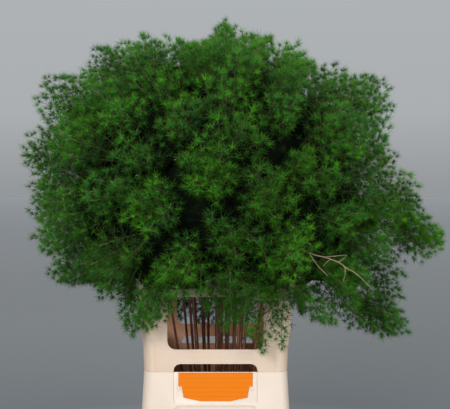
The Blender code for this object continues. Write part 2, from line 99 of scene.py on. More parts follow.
# Azimuth and elevation of each lobe that sticks out, how many more sprays it has, and how much further
# they reach
LOBES = (
    (90, -13, 12, 1.03), (90, -5, 5, 1.02), (86, -37, 9, 1.02), (88, -26, 5, 1.02), (-90, -29, 5, 1.02),
    (-90, 31, 4, 1.05), (-90, 50, 6, 1.14), (90, 31, 4, 1.05), (10, 88, 6, 1.09),
)
LOBE_SPREAD = 0.07           # how far a lobe's sprays scatter round its direction
# Outline of the green in the photograph, from left to right: no tip comes higher or lower than this
TOP_OUTLINE = (
    (20, 130), (35, 76), (65, 74), (80, 46), (110, 44), (140, 31), (165, 31), (185, 42), (215, 37),
    (225, 15), (240, 18), (262, 34), (296, 34), (310, 50), (335, 60), (395, 80), (410, 165), (449, 214),
)
LOW_OUTLINE = (
    (20, 225), (35, 283), (80, 283), (95, 301), (110, 311), (125, 333), (150, 330), (166, 318), (178, 300),
    (255, 303), (275, 306), (292, 299), (305, 305), (335, 325), (400, 337), (412, 335), (425, 262),
    (449, 250),
)
MIDDLE_BAND = 5              # pixels above and below the crown's middle where no tip is cut down
CUT_TO = 0.6                 # and the least share of its reach that a tip is cut down to
PULL = 0.24                  # how far a spray leans from its own place towards the middle of its clump
SINK, SINK_TO = 2.2, 0.8     # how fast the sprays get shorter away from their clump's middle, and to what
CLUMP_LEAST, CLUMP_MOST = 0.975, 1.085  # reach of the shortest and the longest clump, over the crown's
FULLER_RIGHT, FLATTER_BACK = 0.045, 0.045  # the sprays reach this much further right, and less at the back
WIDEST = 0.492               # how far to the right of the bucket's middle a tip comes
TIP_LEAST = 0.93             # the shortest spray's reach over the longest's in a clump
CLUMP_BASE = 0.56            # where a branch divides into the sprays of its clump, over the crown's reach
SPRAY_BEND = 0.74            # where a spray's curve bends, over its reach
BRANCH_RADII, SPRAY_RADII, SIDE_TWIG_RADIUS = (0.0019, 0.0014), (0.0014, 0.0005), 0.0006
BRANCH_RINGS = 7
TUFTS, INNER_TUFTS = 26, 13  # on each spray, and those nearest the bunch's middle, with fewer needles
SPRAY_LONG = 0.112           # length of a twig that carries tufts
SPRAY_HALF = 0.027           # how far the side twigs hold the tufts out
FILLING_OUT = 0.022          # how far behind the tip the side twigs have come to two thirds of their length
FACING_OUT = 0.012           # a tuft held out this far leans outwards the most
NEEDLE_LONG = 0.0172
HUB_RADIUS = 0.0009          # swelling from which a tuft's needles spring
FORWARD = 0.62               # how much the needles lean towards the tuft's tip
BRANCH_CLEAR, BASE_CLEAR, TUFT_CLEAR = 0.006, 0.02, 0.014  # kept from the collar
INSIDE_REACH, INSIDE_RIM_REACH = 0.76, 0.66  # the dark dome of painted shade inside a frond, at its middle and its rim
INSIDE_LOW = 0.47            # and the lowest that it comes
INSIDE_PAST, INSIDE_OVER = 0.02, 0.012  # over the collar, or this near it, it is lifted this far over its top
INSIDE_RINGS = (0.985, 0.9, 0.75, 0.55, 0.35, 0.15)  # each ring's share of the frond's cone, from its rim
INSIDE_SPOKES, INSIDE_DIMPLES = 40, 0.03
TONE_MIDDLE, TONE_SPREAD = 0.46, 0.12  # of the clumps' greens, from dark at 0 to light at 1
SEED = 5
# Sprays that hang by the collar: the tip as a pixel of the photograph, the frond that it belongs to, and
# whether it hangs before the collar, or behind it and so shows through its windows
HANGING = (
    (133, 336, 21, 0), (126, 325, 21, 0), (147, 330, 21, 0), (160, 316, 21, 0), (139, 322, 21, 0),
    (152, 300, 21, 0), (170, 303, 21, 0), (184, 295, 14, 0), (196, 292, 14, 0), (207, 309, 14, 0),
    (217, 302, 14, 0), (226, 329, 14, 0), (237, 322, 14, 0), (230, 312, 14, 0), (244, 311, 22, 0),
    (250, 336, 22, 0), (262, 352, 22, 0), (282, 348, 22, 0), (279, 325, 22, 0), (271, 304, 22, 0),
    (262, 296, 22, 0),
    (172, 324, 24, 1), (181, 319, 24, 1), (191, 314, 24, 1), (199, 322, 24, 1), (206, 316, 24, 1),
    (213, 322, 24, 1), (221, 316, 24, 1), (230, 324, 24, 1), (238, 317, 24, 1), (247, 322, 24, 1),
    (256, 318, 24, 1), (176, 307, 24, 1), (188, 304, 24, 1), (203, 306, 24, 1), (217, 304, 24, 1),
    (233, 307, 24, 1), (249, 305, 24, 1), (196, 338, 24, 1), (226, 340, 24, 1), (243, 338, 24, 1),
)
HANGING_CLEAR = (0.024, 0.040)  # least and most from the collar's outer face
HANGING_DROP, HANGING_SWAY = 46, 5  # pixels from where it bends down to its tip, and how far it hangs askew
HANGING_HALF, HANGING_LONG, HANGING_TONE = 0.017, 0.085, 0.55

# Stems
STEM_SIDES, STEM_RINGS = 8, 34
NODE_WAVE, NODE_SWELL = 0.048, 0.12  # length of the wave whose crests and troughs are both nodes
BARK_SLIMMER = 0.96          # radius of the bark over the solid's, so that the nodes hardly pass it
STEM_GRAIN, TWIG_GRAIN = 22, 60  # streaks of bark along a metre
GRAIN_ROUND = 1.6            # radius of the bark's pattern round a stem, in streaks
GRAIN_STEP = 7               # and how far one stem's pattern lies from the next one's
# The bare twig on the right and its side twigs, as pixels of the photograph
BARE_TWIG = (
    ((300, 249), (305, 251), (315, 255), (324, 257), (330, 259), (340, 263), (346, 268), (352, 271),
     (359, 276), (372, 289)),
    ((326, 257), (336, 256), (346, 255)),
    ((338, 262), (343, 259), (347, 255)),
    ((345, 267), (345, 275), (343, 282)),
    ((331, 259), (327, 262), (323, 266)),
    ((309, 253), (318, 266), (328, 276)),
)
TWIG_FOOT_Y, SIDE_FOOT_Y, TWIG_TIP_Y = -0.305, -0.33, -0.34
TWIG_RADII, SIDE_TWIG_SHARE = (0.0008, 0.0005), 0.6

# Container and studio
MOULDED_EDGE, COLLAR_EDGE = 0.0012, 0.0009
FLAT_WITHIN, SHARP_FROM = 0.6, 40  # degrees between two faces
FLOOR_RADIUS, FLOOR_SIDES, FLOOR_DROP = 90.0, 96, 0.0005
FLOOR_HALFWAY = 8.0          # how far off the middle of the floor's tones lies
# Pale under the object, then just dark enough to look even under the lamps, whose light fades with the
# distance d, and paler again far off, where it meets the surround softly. The places are d / (d + 8 m).
FLOOR_TONES = (
    (0.0, "#b4b4b1"), (0.05, "#a8a8a5"), (0.11, "#767a7d"), (0.27, "#9a9d9e"), (0.5, "#b4b6b7"),
    (0.67, "#bcbec0"), (0.8, "#c6c8ca"), (0.92, "#d2d4d6"),
)
SKY_TONES = ((0.25, "#94989a"), (0.33, "#9fa2a4"), (0.44, "#abafb2"), (1.0, "#b2b6ba"))
SKY_LOW, SKY_HIGH = -0.1, 0.3  # sine of the elevation at the first and the last of these tones
# Name, place, aim, width and watts of each lamp
LAMPS = (
    ("key softbox", (-1.2, -2.8, 1.5), (0, 0, 0.6), 1.2, 86),
    ("fill softbox", (1.9, -2.3, 1.2), (0, 0, 0.5), 1.6, 52),
    ("top softbox", (0.2, 0.3, 3.0), (0, 0, 0.6), 1.8, 18),
)


def linear(colour):
    """An sRGB hex colour as linear red, green, blue and 1."""
    values = [int(colour[k:k + 2], 16) / 255 for k in (1, 3, 5)]
    return (*[v / 12.92 if v <= 0.04045 else ((v + 0.055) / 1.055) ** 2.4 for v in values], 1.0)


# Materials


def add(tree, kind, out=0, settings=None, stops=(), **inputs):
    """Adds a node with its settings, colour stops and inputs, and gives one of its outputs, by place or name.

    Base_Color stands for the input Base Color, and in3 for the fourth one; a socket is linked, a value set.
    """
    made = tree.nodes.new(kind)
    for key, value in (settings or {}).items():
        setattr(made, key, value)
    if stops:
        band = made.color_ramp.elements
        while len(band) < len(stops):
            band.new(0.5)
        for stop, (place, colour) in zip(band, stops):
            stop.position, stop.color = place, linear(colour)
    for key, value in inputs.items():
        socket = made.inputs[int(key[2:]) if key[2:].isdigit() else key.replace("_", " ")]
        if isinstance(value, bpy.types.NodeSocket):
            tree.links.new(value, socket)
        else:
            socket.default_value = value
    return made.outputs[out] if made.outputs else made


def new_material(name):
    """An empty material that is ready for its nodes, and its node tree."""
    made = bpy.data.materials.new(name)
    made.use_nodes = True
    made.node_tree.nodes.clear()
    return made, made.node_tree


# A Mix node set to colours takes its share as in0 and its colours as in6 and in7, and gives output MIXED.
# A Map Range node takes a value as in0, its range as in1 and in2, and the new range as in3 and in4.
COLOURS = {"data_type": "RGBA"}
MIXED = 2


def needle_material():
    """Living cladodes, fine waxy needles: painted light makes the tips bright, and painted shade makes the
    needles deep in the bunch almost black.

    Shoots some 90 mm across are a cooler green than their neighbours.
    """
    made, tree = new_material("living green needles")
    tone = add(tree, "ShaderNodeAttribute", "Fac", {"attribute_name": "tone"})
    tip = add(tree, "ShaderNodeAttribute", "Fac", {"attribute_name": "tip"})
    depth = add(tree, "ShaderNodeAttribute", "Fac", {"attribute_name": "depth"})
    greens = ((0.0, "#0b2e05"), (0.35, "#175306"), (0.65, "#2b7509"), (1.0, "#559816"))
    hue = add(tree, "ShaderNodeValToRGB", stops=greens, Fac=tone)
    place = add(tree, "ShaderNodeTexCoord", "Object")
    shoots = add(tree, "ShaderNodeTexNoise", Vector=place, Scale=11.0, Detail=2.0)
    cool = add(tree, "ShaderNodeMapRange", in0=shoots, in1=0.46, in2=0.64, in3=0.0, in4=0.6)
    hue = add(tree, "ShaderNodeMix", MIXED, COLOURS, in0=cool, in6=hue, in7=linear("#155028"))
    # painted light: each needle is mixed towards a pale yellow-green along its length, most at its tip
    painted_tip_light_share = add(tree, "ShaderNodeMapRange", in0=tip, in1=0.3, in2=1.0, in3=0.0, in4=0.55)
    pale = add(tree, "ShaderNodeMix", MIXED, COLOURS, in0=painted_tip_light_share, in6=hue, in7=linear("#84b534"))
    # painted shade: the deeper a needle lies in the bunch, the nearer its colour is mixed to almost black
    painted_shade_share = add(tree, "ShaderNodeMapRange", in0=depth, in1=0.0, in2=0.85, in3=0.9, in4=0.0)
    deep = add(tree, "ShaderNodeMix", MIXED, COLOURS, in0=painted_shade_share, in6=pale, in7=linear("#071604"))
    shader = add(tree, "ShaderNodeBsdfPrincipled", Base_Color=deep, Roughness=0.6, IOR=1.45,
                 Specular_IOR_Level=0.12)
    add(tree, "ShaderNodeOutputMaterial", Surface=shader)
    return made


def twig_material():
    """Young green wood, matt, with a 4 mm grain: yellow-green, browner and darker towards the bunch's middle,
    where the darkening is painted shade.
    """
    made, tree = new_material("green twig")
    depth = add(tree, "ShaderNodeAttribute", "Fac", {"attribute_name": "depth"})
    place = add(tree, "ShaderNodeTexCoord", "Object")
    grain = add(tree, "ShaderNodeTexNoise", Vector=place, Scale=260.0, Detail=3.0)
    # painted shade: the wood is darker the deeper it lies in the bunch, down to almost black brown
    wood_tones_and_painted_shade = ((0.0, "#1f1a0c"), (0.5, "#324016"), (1.0, "#56702c"))
    wood = add(tree, "ShaderNodeValToRGB", stops=wood_tones_and_painted_shade, Fac=depth)
    share = add(tree, "ShaderNodeMapRange", in0=grain, in1=0.35, in2=0.65)
    colour = add(tree, "ShaderNodeMix", MIXED, COLOURS, in0=share, in6=wood, in7=linear("#46551f"))
    shader = add(tree, "ShaderNodeBsdfPrincipled", Base_Color=colour, Roughness=0.62)
    add(tree, "ShaderNodeOutputMaterial", Surface=shader)
    return made


def painted_shade_core_material():
    """Painted shade for the inside of a frond: a dark sheet, almost black green.

    Streaks of 6 mm, as wide as a few needles, lie in patches of some 26 mm.
    """
    made, tree = new_material("painted shade core")
    place = add(tree, "ShaderNodeTexCoord", "Object")
    streaks = add(tree, "ShaderNodeTexNoise", Vector=place, Scale=170.0, Detail=5.0, Roughness=0.75)
    clumps = add(tree, "ShaderNodeTexNoise", Vector=place, Scale=38.0, Detail=2.0)
    both = add(tree, "ShaderNodeMath", settings={"operation": "MULTIPLY"}, in0=streaks, in1=clumps)
    painted_shade_tones = ((0.18, "#030603"), (0.30, "#081205"), (0.42, "#12260a"))
    colour = add(tree, "ShaderNodeValToRGB", stops=painted_shade_tones, Fac=both)
    bump = add(tree, "ShaderNodeBump", Height=streaks, Strength=0.9, Distance=0.006)
    shader = add(tree, "ShaderNodeBsdfPrincipled", Base_Color=colour, Roughness=0.9, Normal=bump,
                 Specular_IOR_Level=0.05)
    add(tree, "ShaderNodeOutputMaterial", Surface=shader)
    return made


def bark_material(name, tones, patch):
    """Woody stem: bark with paler rubbed streaks along it, darker patches of 18 mm, and a dull skin."""
    made, tree = new_material(name)
    along = add(tree, "ShaderNodeAttribute", "Vector", {"attribute_name": "grain"})
    streaks = add(tree, "ShaderNodeTexNoise", Vector=along, Scale=1.0, Detail=4.0, Roughness=0.6)
    place = add(tree, "ShaderNodeTexCoord", "Object")
    patches = add(tree, "ShaderNodeTexNoise", Vector=place, Scale=55.0, Detail=3.0)
    stops = tuple(zip((0.32, 0.5, 0.66, 0.8), tones))
    bark = add(tree, "ShaderNodeValToRGB", stops=stops, Fac=streaks)
    share = add(tree, "ShaderNodeMapRange", in0=patches, in1=0.45, in2=0.7, in3=0.0, in4=0.6)
    colour = add(tree, "ShaderNodeMix", MIXED, COLOURS, in0=share, in6=bark, in7=linear(patch))
    bump = add(tree, "ShaderNodeBump", Height=streaks, Strength=0.5, Distance=0.0006)
    shader = add(tree, "ShaderNodeBsdfPrincipled", Base_Color=colour, Roughness=0.58, Normal=bump)
    add(tree, "ShaderNodeOutputMaterial", Surface=shader)
    return made


def plastic_material(name, base, shade, worn):
    """Injection-moulded polypropylene: a soft sheen over an even cream body, with handling marks and dirt.

    The body clouds over some 110 mm. Upright scratches, 4 mm by 70 mm, and specks of dirt, 2.4 mm, are
    coarser than real ones, so that they show. The faces turned inwards get a painted warm brown shade.
    """
    made, tree = new_material(name)
    place = add(tree, "ShaderNodeTexCoord", "Object")
    cloudy = add(tree, "ShaderNodeTexNoise", Vector=place, Scale=9.0, Detail=4.0)
    share = add(tree, "ShaderNodeMapRange", in0=cloudy, in1=0.35, in2=0.65)
    body = add(tree, "ShaderNodeMix", MIXED, COLOURS, in0=share, in6=linear(base), in7=linear(shade))
    upright = add(tree, "ShaderNodeMapping", Vector=place, Scale=(240.0, 240.0, 14.0))
    scratches = add(tree, "ShaderNodeTexNoise", Vector=upright, Scale=1.0, Detail=5.0, Roughness=0.7)
    share = add(tree, "ShaderNodeMapRange", in0=scratches, in1=0.60, in2=0.78, in3=0.0, in4=0.35)
    marked = add(tree, "ShaderNodeMix", MIXED, COLOURS, in0=share, in6=body, in7=linear(worn))
    specks = add(tree, "ShaderNodeTexNoise", Vector=place, Scale=420.0, Detail=2.0)
    share = add(tree, "ShaderNodeMapRange", in0=specks, in1=0.69, in2=0.80, in3=0.0, in4=0.5)
    dirty = add(tree, "ShaderNodeMix", MIXED, COLOURS, in0=share, in6=marked, in7=linear("#a58a70"))
    level = (1.0, 1.0, 0.0)
    flat = add(tree, "ShaderNodeVectorMath", "Vector", {"operation": "MULTIPLY"}, in0=place, in1=level)
    facing = add(tree, "ShaderNodeTexCoord", "Normal")
    inward = add(tree, "ShaderNodeVectorMath", "Value", {"operation": "DOT_PRODUCT"}, in0=facing, in1=flat)
    # painted shade: faces that turn towards the middle are mixed towards a warm brown
    share = add(tree, "ShaderNodeMapRange", in0=inward, in1=-0.02, in2=-0.08, in3=0.0, in4=0.8)
    painted_inner_shade = add(tree, "ShaderNodeMix", MIXED, COLOURS, in0=share, in6=dirty, in7=linear("#d08e62"))
    rough = add(tree, "ShaderNodeMapRange", in0=scratches, in1=0.3, in2=0.8, in3=0.34, in4=0.55)
    fine = add(tree, "ShaderNodeBump", Height=specks, Strength=0.12, Distance=0.0004)
    shader = add(tree, "ShaderNodeBsdfPrincipled", Base_Color=painted_inner_shade, Roughness=rough, Normal=fine,
                 IOR=1.49, Subsurface_Weight=0.05, Subsurface_Radius=(0.004, 0.003, 0.002))
    add(tree, "ShaderNodeOutputMaterial", Surface=shader)
    return made


def card_material():
    """Dyed board, uncoated: an even orange with paper fibres, and faint ruled lines as on any blank form.

    The lines come every 9 mm. The fibres, of about 1 mm, are coarser than real ones, so that they show.
    """
    made, tree = new_material("orange board")
    place = add(tree, "ShaderNodeTexCoord", "Object")
    fibres = add(tree, "ShaderNodeTexNoise", Vector=place, Scale=900.0, Detail=3.0)
    body = add(tree, "ShaderNodeMix", MIXED, COLOURS, in0=fibres, in6=linear("#c76707"),
               in7=linear("#d07009"))
    height = add(tree, "ShaderNodeSeparateXYZ", "Z", Vector=place)
    lines = add(tree, "ShaderNodeMath", settings={"operation": "PINGPONG"}, in0=height, in1=0.0045)
    share = add(tree, "ShaderNodeMapRange", in0=lines, in1=0.0, in2=0.0006, in3=0.6, in4=0.0)
    ruled = add(tree, "ShaderNodeMix", MIXED, COLOURS, in0=share, in6=body, in7=linear("#9c4a0c"))
    shader = add(tree, "ShaderNodeBsdfPrincipled", Base_Color=ruled, Roughness=0.7, Specular_IOR_Level=0.12)
    add(tree, "ShaderNodeOutputMaterial", Surface=shader)
    return made


def water_material():
    """Clean water, still: clear with a faint green from the stems, in clouds of some 55 mm."""
    made, tree = new_material("vase water")
    place = add(tree, "ShaderNodeTexCoord", "Object")
    cloud = add(tree, "ShaderNodeTexNoise", Vector=place, Scale=18.0)
    tint = add(tree, "ShaderNodeMix", MIXED, COLOURS, in0=cloud, in6=linear("#d9e6da"),
               in7=linear("#c4d8c6"))
    shader = add(tree, "ShaderNodeBsdfPrincipled", Base_Color=tint, Roughness=0.03, IOR=1.333,
                 Transmission_Weight=1.0)
    add(tree, "ShaderNodeOutputMaterial", Surface=shader)
    return made


# Meshes


class Growth:
    """Points and triangles of one piece as they grow, with each point's looks and each triangle's finish."""

    def __init__(self):
        """Starts with nothing grown."""
        self.points, self.triangles, self.finish, self.looks = [], [], [], []
        self.count = 0

    def grow(self, points, triangles, finish, tip=0.0, tone=0.5, depth=1.0):
        """Adds points and their triangles in one finish. A look is one value, or one for each point.

        tip goes from 0 at a needle's root to 1 at its tip and sets the painted light, tone from dark to light
        green, and depth from 0 deep in the bunch to 1 at its surface and sets the painted shade.
        """
        points = np.asarray(points, float).reshape(-1, 3)
        triangles = np.asarray(triangles).reshape(-1, 3)
        looks = np.empty((len(points), 3))
        looks[:, 0], looks[:, 1], looks[:, 2] = np.ravel(tip), np.ravel(tone), np.ravel(depth)
        self.points.append(points)
        self.triangles.append(triangles + self.count)
        self.finish.append(np.full(len(triangles), finish))
        self.looks.append(looks)
        self.count += len(points)

    def piece(self, name, finishes, node):
        """Joins all that has grown into one mesh, whose looks are attributes, and shows it for the node."""
        points, looks = np.concatenate(self.points), np.concatenate(self.looks)
        mesh = mesh_of(name, points, np.concatenate(self.triangles), finishes)
        mesh.polygons.foreach_set("material_index", np.concatenate(self.finish).astype(np.int32))
        for column, word in enumerate(("tip", "tone", "depth")):
            made = mesh.attributes.new(word, "FLOAT", "POINT")
            made.data.foreach_set("value", np.ascontiguousarray(looks[:, column], dtype=np.float32))
        show(mesh, node)


def mesh_of(name, points, triangles, finishes):
    """A smooth-shaded mesh of these points and triangles."""
    mesh = bpy.data.meshes.new(name)
    mesh.vertices.add(len(points))
    mesh.vertices.foreach_set("co", np.asarray(points, np.float32).ravel())
    mesh.loops.add(3 * len(triangles))
    mesh.loops.foreach_set("vertex_index", np.asarray(triangles, np.int32).ravel())
    mesh.polygons.add(len(triangles))
    mesh.polygons.foreach_set("loop_start", 3 * np.arange(len(triangles), dtype=np.int32))
    mesh.update(calc_edges=True)
    mesh.shade_smooth()
    for finish in finishes:
        mesh.materials.append(finish)
    return mesh


def show(mesh, node=None):
    """Puts a mesh into the scene on the one body, and in a node's place if one is given."""
    made = bpy.data.objects.new(mesh.name, mesh)
    bpy.context.scene.collection.objects.link(made)
    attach(made, "root")
    if node:
        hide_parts(node)
    return made


def unit(vectors):
    """Each vector divided by its length."""
    return vectors / np.linalg.norm(vectors, axis=-1, keepdims=True)


def across(headings):
    """For each heading two unit vectors square to it and to each other."""
    headings = np.atleast_2d(headings)
    helper = np.where(np.abs(headings[:, 1:2]) < 0.9, (0.0, 1.0, 0.0), (1.0, 0.0, 0.0))
    u = unit(np.cross(helper, headings))
    return u, np.cross(headings, u)


def tube(centres, radii, sides):
    """A closed tube: at each centre a ring of that radius square to the path, then a fan over each end."""
    headings = unit(np.gradient(centres, axis=0))
    u, v = across(headings)
    angles = 2 * pi * np.arange(sides) / sides
    ring = np.cos(angles)[None, :, None] * u[:, None] + np.sin(angles)[None, :, None] * v[:, None]
    points = (centres[:, None] + np.asarray(radii)[:, None, None] * ring).reshape(-1, 3)
    points = np.vstack((points, centres[0], centres[-1]))
    levels = len(centres)
    low = (np.arange(levels - 1)[:, None] * sides + np.arange(sides)).ravel()
    after = (np.arange(levels - 1)[:, None] * sides + (np.arange(sides) + 1) % sides).ravel()
    foot, head = len(points) - 2, len(points) - 1
    first = np.arange(sides)
    turned = (first + 1) % sides
    last = (levels - 1) * sides
    triangles = np.vstack((
        np.stack((low, after, after + sides), 1),
        np.stack((low, after + sides, low + sides), 1),
        np.stack((np.full(sides, foot), turned, first), 1),
        np.stack((np.full(sides, head), first + last, turned + last), 1),
    ))
    return points, triangles


# Skeleton, worked out as in the part's source


def direction(azimuth, elevation):
    """Azimuth 0 points to the front and 90 to the right, in degrees."""
    a, e = radians(azimuth), radians(elevation)
    return np.array([sin(a) * cos(e), -cos(a) * cos(e), sin(e)])


def reach(towards):
    """Distance from the crown's centre to its surface: an ellipsoid of five half axes, with its swellings."""
    towards = np.asarray(towards)
    x, y, z = np.moveaxis(towards, -1, 0)
    along_x = np.where(x > 0, REACH_RIGHT, REACH_LEFT)
    along_z = np.where(z > 0, REACH_UP, REACH_DOWN)
    swelling = 1.0
    for azimuth, elevation, spread, share in SWELLS:
        turned = 1 - towards @ direction(azimuth, elevation)
        swelling = swelling + share * np.exp(-turned / (1 - cos(radians(spread))))
    return swelling / np.sqrt((x / along_x) ** 2 + (y / REACH_DEEP) ** 2 + (z / along_z) ** 2)


def level_point(azimuth, out, z):
    """The point this far out from the crown's upright axis in a direction, at height z."""
    return np.array([*(CROWN + out * direction(azimuth, 0.0))[:2], z])


def collar_edge(azimuth):
    """How far out the collar's rectangle lies in a direction, at its side or at its front or back."""
    return (COLLAR_HALF / np.maximum(np.abs(direction(azimuth, 0.0)[:2]), 1e-6)).min()


def smooth_route(points, per_span=10):
    """A Catmull-Rom curve through the points."""
    points = np.asarray(points, float)
    padded = np.vstack((2 * points[0] - points[1], points, 2 * points[-1] - points[-2]))
    t = np.linspace(0, 1, per_span, endpoint=False)[:, None]
    spans = []
    for span in range(len(points) - 1):
        a, b, c, d = padded[span:span + 4]
        spans.append(0.5 * (2 * b + (c - a) * t + (2 * a - 5 * b + 4 * c - d) * t**2
                            + (3 * b - a - 3 * c + d) * t**3))
    return np.vstack((*spans, points[-1]))


def split_index(route, azimuth, drooping):
    """The point of the route where the stem turns into the frond: at a height, or above the collar's wall."""
    if drooping:
        out = np.linalg.norm((route - CROWN)[:, :2], axis=1)
        return int(np.argmax(out > collar_edge(azimuth) - 3 * COLLAR_WALL))
    return int(np.argmax(route[:, 2] > SPLIT_Z))


def plan_stems():
    """One entry for each leafy stem: the direction of its frond, and its route from foot to fork."""
    lowest = RINGS[-1][0]
    plans = []
    for elevation, count, first in RINGS:
        share = (90.0 - elevation) / (90.0 - lowest)
        drooping = elevation < DROOPING_BELOW
        for k in range(count):
            azimuth = first + 360.0 * k / count
            outward = direction(azimuth, 0.0) * np.array([1.0, BUNCH_DEEPER, 0.0])
            levels = (
                (BUNCH_AT_FLOOR, BUCKET_WALL + SOLID_GAP),
                (BUNCH_AT_FLOOR, WATER_TOP + STRAIGHT_PAST_WATER),
                (BUNCH_AT_RIM, BUCKET_TOP),
                (BUNCH_AT_MOUTH, COLLAR_TOP - UNDER_MOUTH),
            )
            points = [outward * half * share + np.array([0.0, 0.0, z]) for half, z in levels]
            if drooping:
                edge, arch = max(collar_edge(azimuth) + ARCH_PAST, ARCH_LEAST), COLLAR_TOP + ARCH_RISE
                points.append(level_point(azimuth, 0.5 * (edge + BUNCH_AT_MOUTH), arch + ARCH_CREST))
                points.append(level_point(azimuth, edge, arch))
            else:
                points.append(CROWN + FORK_RADIUS * direction(azimuth, elevation))
            route = smooth_route(points)
            plans.append({
                "azimuth": azimuth,
                "towards": direction(azimuth, elevation),
                "route": route,
                "split": split_index(route, azimuth, drooping),
            })
    return plans


def clear_of_collar(points, clear):
    """Points low enough to meet the collar, moved out level from its middle until they are this clear of it.

    Each is pushed by what its distance from the collar's inner rectangle lacks of the corner's radius and the
    clearance.
    """
    inner = COLLAR_HALF - CORNER
    beside = np.maximum(np.abs(points[:, :2]) - inner, 0.0)
    away = np.linalg.norm(beside, axis=1)
    low = (points[:, 2] < COLLAR_TOP + clear) & (away < CORNER + clear)
    level = np.where(away[:, None] > 1e-6, beside / np.maximum(away, 1e-6)[:, None],
                     np.abs(unit(points[:, :2] + 1e-9)))
    pushed = points.copy()
    pushed[low, :2] += ((CORNER + clear - away)[:, None] * level * np.sign(points[:, :2]))[low]
    return pushed


def over_collar(points):
    """Points above or within the collar lifted over its top, and none lower than the shaded inside comes."""
    within = (np.abs(points[:, :2]) < COLLAR_HALF + INSIDE_PAST).all(axis=1)
    lifted = points.copy()
    lifted[:, 2] = np.maximum(lifted[:, 2], np.where(within, COLLAR_TOP + INSIDE_OVER, INSIDE_LOW))
    return lifted


def seen_at(pixels, y):
    """The points of a plane at this Y that the camera sees at pixels of the photograph."""
    pixels = np.asarray(pixels, float)
    focal = LENS / SENSOR * FRAME_WIDE
    right = (pixels[:, 0] - FRAME_WIDE / 2) / focal
    down = (pixels[:, 1] - FRAME_TALL / 2) / focal
    dip = radians(CAMERA_DIPS)
    rays = np.stack((right, cos(dip) - down * sin(dip), -sin(dip) - down * cos(dip)), axis=1)
    return CAMERA_AT + rays * ((y - CAMERA_AT[1]) / rays[:, 1])[:, None]


def pixels_of(points):
    """Where the camera sees these points in the photograph."""
    dip = radians(CAMERA_DIPS)
    rays = points - CAMERA_AT
    ahead = rays @ (0.0, cos(dip), -sin(dip))
    above = rays @ (0.0, sin(dip), cos(dip))
    focal = LENS / SENSOR * FRAME_WIDE
    return FRAME_WIDE / 2 + focal * rays[:, 0] / ahead, FRAME_TALL / 2 - focal * above / ahead


def within_outline(aims, far):
    """The reaches, each cut down by the share that its tip lies beyond the outline.

    Both are counted in pixels up or down from the crown's middle.
    """
    across_frame, down = pixels_of(CROWN + far[:, None] * aims)
    middle = pixels_of(CROWN[None])[1]
    top, low = (np.interp(across_frame, *np.transpose(pairs)) for pairs in (TOP_OUTLINE, LOW_OUTLINE))
    beyond = np.where(down > middle, low, top) - middle
    past = np.where(np.abs(down - middle) < MIDDLE_BAND, beyond, down - middle)
    return far * (beyond / past).clip(CUT_TO, 1.0)


# Foliage


def spread_aims(count, nudge, rng):
    """Directions spread evenly over a sphere by the golden angle, each nudged a little."""
    k = np.arange(count)
    z = 1 - 2 * (k + 0.5) / count
    turn = pi * (3 - sqrt(5)) * k
    flat = np.sqrt(1 - z**2)
    aims = np.stack((flat * np.cos(turn), flat * np.sin(turn), z), axis=1)
    return unit(aims + rng.normal(0.0, nudge / sqrt(count), aims.shape))


def hub_of(corners, side):
    """A regular solid's corners, the directions of its faces, and the triangles of the needles on them.

    A face is a trio of corners one side apart, turned to point outwards. Three triangles draw it out to the
    tip of a needle; the tips are numbered after the corners.
    """
    corners = np.asarray(corners, float)
    faces = []
    for trio in combinations(range(len(corners)), 3):
        p, q, r = corners[list(trio)]
        if max(np.linalg.norm(p - q), np.linalg.norm(q - r), np.linalg.norm(r - p)) < side * 1.01:
            outward = np.cross(q - p, r - p) @ (p + q + r) > 0
            faces.append(trio if outward else trio[::-1])
    faces = np.array(faces)
    tips = len(corners) + np.arange(len(faces))
    edges = [np.stack((faces[:, k], faces[:, (k + 1) % 3], tips), axis=1) for k in range(3)]
    return unit(corners), unit(corners[faces].mean(axis=1)), np.concatenate(edges)


# Hubs with twenty faces for the full tufts, and with eight for those deeper in
GOLDEN = (1 + sqrt(5)) / 2
ENDS = (-1, 1)
TWENTY = hub_of([np.roll((0.0, a, b * GOLDEN), k) for k in range(3) for a in ENDS for b in ENDS], 2.0)
EIGHT = hub_of([np.roll((a, 0.0, 0.0), k) for k in range(3) for a in ENDS], sqrt(2))


def grow_tufts(growth, hub, at, axes, size, tone, depth, rng):
    """A tuft at each place: a small hub round its axis, each face of it drawn out to a needle.

    The hub is spun at random round the axis. A needle leans from its face's direction towards the axis, is
    about as long as the tuft's size, and a little longer along the axis than across it.
    """
    corners, straight, raised = hub
    count, needles = len(at), len(straight)
    u, v = across(axes)
    spin = rng.uniform(0, 2 * pi, count)[:, None]
    side, other = np.cos(spin) * u + np.sin(spin) * v, np.cos(spin) * v - np.sin(spin) * u
    turned = np.stack((side, other, axes), axis=1)
    aims = unit(straight + rng.normal(0.0, 0.16, (count, needles, 3)) + (0.0, 0.0, FORWARD))
    length = size[:, None] * (0.80 + 0.20 * aims[..., 2]) * rng.uniform(0.7, 1.15, (count, needles))
    tips = at[:, None] + length[..., None] * (aims @ turned)
    points = np.concatenate((at[:, None] + HUB_RADIUS * corners @ turned, tips), axis=1)
    width = len(corners) + needles
    triangles = raised + (np.arange(count) * width)[:, None, None]
    up = np.tile(np.concatenate((np.zeros(len(corners)), np.ones(needles))), count)
    tones = np.repeat(tone[:, None], width, axis=1)
    tones[:, len(corners):] += rng.normal(0.0, 0.26, (count, needles))
    growth.grow(points, triangles, 0, up, tones.clip(0, 1), np.repeat(depth, width))


